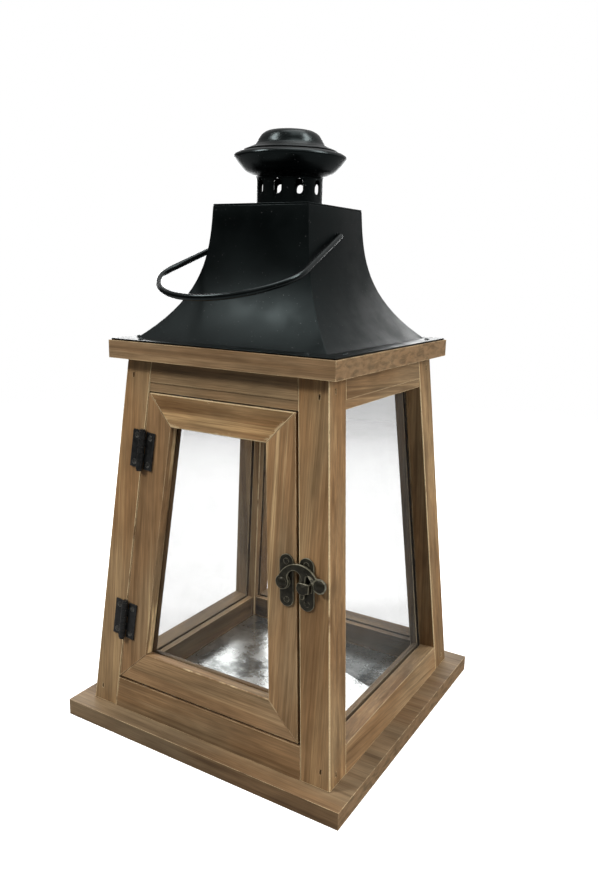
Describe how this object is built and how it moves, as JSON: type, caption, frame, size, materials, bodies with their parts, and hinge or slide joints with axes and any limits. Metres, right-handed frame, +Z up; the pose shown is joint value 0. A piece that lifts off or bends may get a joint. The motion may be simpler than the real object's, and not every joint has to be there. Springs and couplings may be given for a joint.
{
  "type": "hanging candle lantern",
  "caption": "Tapered wooden lantern with fixed glass windows, a hinged and latched glazed door, a flared sheet-metal roof with a chimney cap, and a swinging wire bail.",
  "frame": {"origin": "centre of the base board's underside, which is the bottom centre of the whole lantern", "axes": "+Z up, the door faces -Y with its hinges on the -X side and its latch on the +X side"},
  "size_m": [0.19, 0.19, 0.3503],
  "materials": {
    "board_wood": "rough-sawn, brown stain, worn light arrises",
    "post_wood": "rough-sawn, brown stain, worn light arrises",
    "rail_wood": "rough-sawn, brown stain",
    "door_wood": "brown stain with light grain streaks",
    "batten_wood": "dark brown stain",
    "glass": "clear",
    "floor_sheet": "dull mottled galvanised sheet",
    "screw_steel": "bright, slightly worn",
    "fastener_steel": "dull",
    "hinge_black": "black, worn at the edges",
    "latch_bronze": "dark antique bronze, bright at the edges",
    "bail_black": "gloss black",
    "roof_black": "satin black"
  },
  "bodies": {
    "frame": {"base_board": "board_wood", "floor_plate": "floor_sheet", "floor_screws": "screw_steel", "post_front_right": "post_wood", "post_back_right": "post_wood", "post_back_left": "post_wood", "post_front_left": "post_wood", "front_bottom_rail": "rail_wood", "front_top_rail": "rail_wood", "right_bottom_rail": "rail_wood", "right_top_rail": "rail_wood", "back_bottom_rail": "rail_wood", "back_top_rail": "rail_wood", "left_bottom_rail": "rail_wood", "left_top_rail": "rail_wood", "door_stop": "batten_wood", "right_glass": "glass", "back_glass": "glass", "left_glass": "glass", "top_board": "board_wood", "frame_brads": "fastener_steel", "base_screws": "fastener_steel", "top_board_screws": "fastener_steel", "lower_hinge_frame_leaf": "hinge_black", "lower_hinge_pin": "hinge_black", "upper_hinge_frame_leaf": "hinge_black", "upper_hinge_pin": "hinge_black", "hinge_frame_screws": "screw_steel", "keeper_plate": "latch_bronze", "keeper_screws": "screw_steel", "roof_shell": "roof_black", "roof_nails": "roof_black", "roof_top_plate": "roof_black", "chimney_collar": "roof_black", "chimney_saucer": "roof_black", "chimney_dome": "roof_black"},
    "door": {"door_left_stile": "door_wood", "door_right_stile": "door_wood", "door_top_rail": "door_wood", "door_bottom_rail": "door_wood", "door_glass": "glass", "door_left_bead": "batten_wood", "door_right_bead": "batten_wood", "door_top_bead": "batten_wood", "door_bottom_bead": "batten_wood", "lower_hinge_door_leaf": "hinge_black", "upper_hinge_door_leaf": "hinge_black", "hinge_door_screws": "screw_steel", "latch_plate": "latch_bronze", "latch_plate_screws": "screw_steel", "latch_washer": "latch_bronze", "latch_rivet": "latch_bronze"},
    "latch_arm": {"latch_arm": "latch_bronze"},
    "bail": {"bail_handle": "bail_black"}
  },
  "joints": [
    {"name": "door_swing", "type": "hinge", "parent": "frame", "child": "door", "pos_m": [-0.05647, -0.07656, 0.11941], "axis": [-0.0848, -0.0848, -0.9928], "range_deg": [0, 110]},
    {"name": "latch_lift", "type": "hinge", "parent": "door", "child": "latch_arm", "pos_m": [0.04828, -0.07488, 0.1167], "axis": [0, -0.9964, 0.0851], "range_deg": [0, 110]},
    {"name": "bail_swing", "type": "hinge", "parent": "frame", "child": "bail", "pos_m": [0, 0, 0.2931], "axis": [-1, 0, 0], "range_deg": [-10, 230]}
  ]
}
